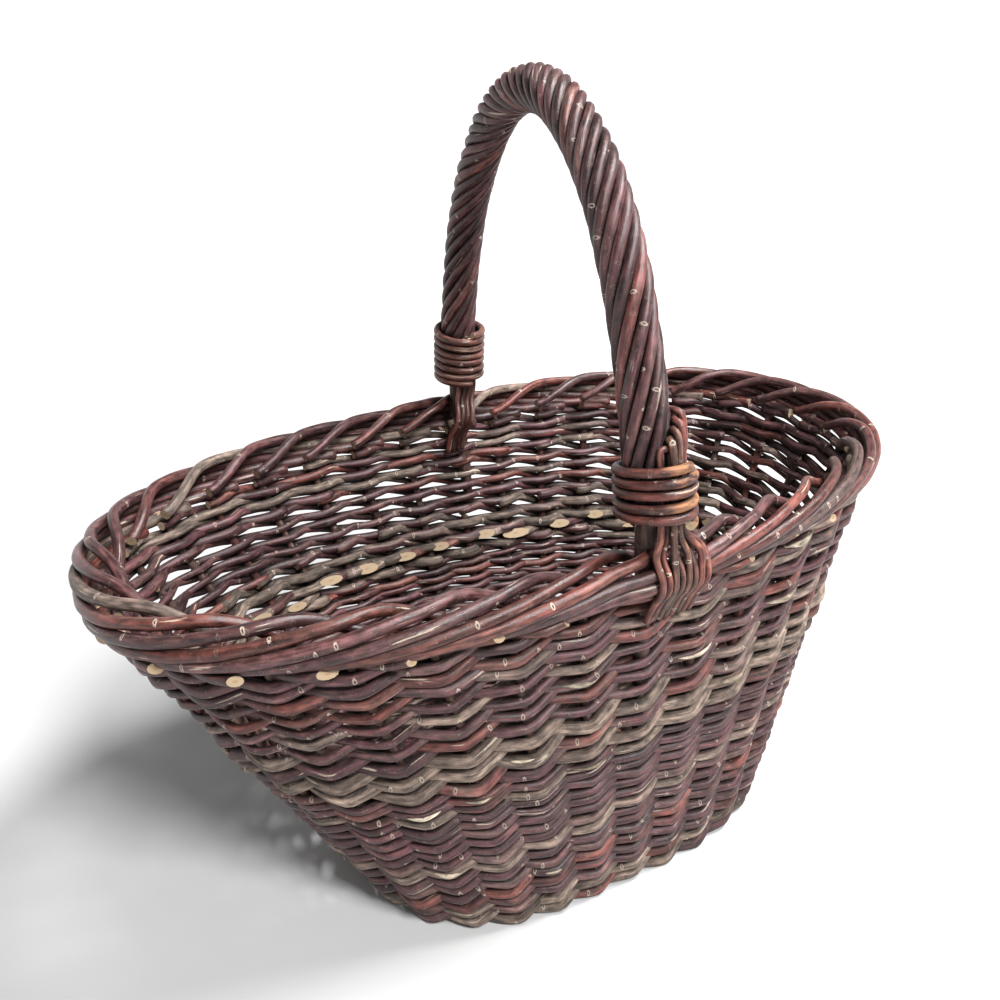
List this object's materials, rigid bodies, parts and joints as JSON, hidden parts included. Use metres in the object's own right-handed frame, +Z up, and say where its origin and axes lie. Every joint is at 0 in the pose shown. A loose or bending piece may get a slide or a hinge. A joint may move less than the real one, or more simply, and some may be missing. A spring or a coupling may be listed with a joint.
{
  "type": "wicker market basket",
  "caption": "Oval willow market basket with a rolled border, bands of different weave, a woven floor and one fixed roped handle bound at its feet.",
  "frame": {"origin": "on the floor under the middle of the basket's overall box", "axes": "+Z up, +X along the length of the mouth, -Y towards the foot of the handle with the hooked rods"},
  "size_m": [0.4835, 0.2954, 0.4403],
  "materials": {
    "grey_bark": "grey-brown bark, dry and mottled",
    "brown_bark": "brown bark with a dull shine",
    "stake_bark": "reddish brown bark",
    "border_bark": "dark brown bark, worn on the outside of each bend",
    "roping_bark": "brown bark, polished by hands",
    "foot_rod_bark": "thin greenish brown bark",
    "binding_bark": "brown bark, worn to pale wood in places",
    "peeled_stick": "split stick, pale wood with some bark"
  },
  "bodies": {
    "root": {"bottom_wale": "grey_bark", "lower_siding": "brown_bark", "middle_wale": "grey_bark", "upper_siding": "brown_bark", "top_wale": "brown_bark", "floor_weave": "brown_bark", "floor_cross_sticks": "peeled_stick", "floor_long_sticks": "peeled_stick", "stakes_right_end": "stake_bark", "stakes_far_side": "stake_bark", "stakes_left_end": "stake_bark", "stakes_near_side": "stake_bark", "border_rods_right_end": "border_bark", "border_rods_far_side": "border_bark", "border_rods_left_end": "border_bark", "border_rods_near_side": "border_bark", "handle_bow": "stake_bark", "roping_rod_1": "roping_bark", "roping_rod_2": "roping_bark", "roping_rod_3": "roping_bark", "roping_rod_4": "roping_bark", "roping_rod_5": "roping_bark", "roping_rod_6": "roping_bark", "roping_rod_7": "roping_bark", "roping_rod_8": "roping_bark", "roping_rod_9": "roping_bark", "near_foot_straight_rods": "foot_rod_bark", "near_foot_hooked_rods": "foot_rod_bark", "far_foot_straight_rods": "foot_rod_bark", "near_foot_binding": "binding_bark", "far_foot_binding": "binding_bark"}
  },
  "joints": []
}
